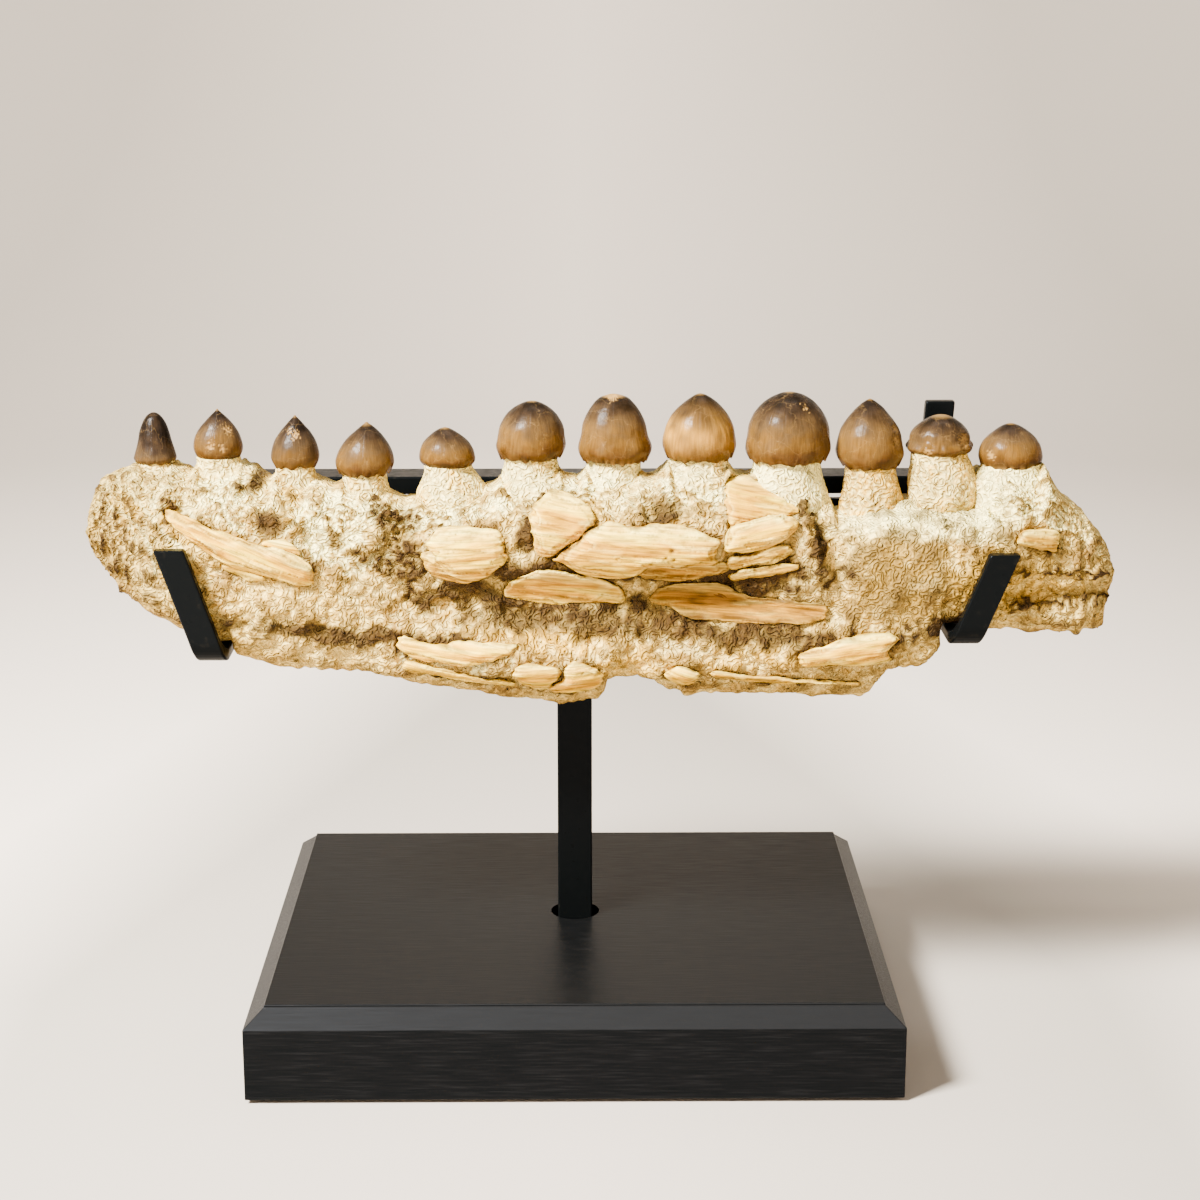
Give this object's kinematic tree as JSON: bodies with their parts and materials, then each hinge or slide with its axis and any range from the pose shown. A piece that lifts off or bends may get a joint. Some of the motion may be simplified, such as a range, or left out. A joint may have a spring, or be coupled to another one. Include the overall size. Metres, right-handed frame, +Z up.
{
  "type": "fossil mosasaur jaw on a stand",
  "caption": "Fossil mosasaur jaw with bulb-shaped crushing teeth in sandy rock, held by two hooked steel arms, a crossbar and a post above a black wooden plinth.",
  "frame": {"origin": "centre of the felt pad's underside, where the stand meets the table", "axes": "+Z up; +X along the jaw from its thin front end towards its thick hind end; the displayed face of the jaw looks along -Y"},
  "size_m": [0.3522, 0.186, 0.2361],
  "materials": {
    "fossil_bone": "dry, gritty, unpolished",
    "tooth_enamel": "glossy, finely pitted",
    "black_steel": "satin black paint",
    "black_wood": "black stain with a satin lacquer",
    "black_felt": "matt felt"
  },
  "bodies": {
    "root": {"jaw": "fossil_bone", "plinth": "black_wood", "felt_pad": "black_felt", "post": "black_steel", "crossbar": "black_steel", "bracket": "black_steel", "arm_left": "black_steel", "arm_right": "black_steel"}
  },
  "joints": []
}
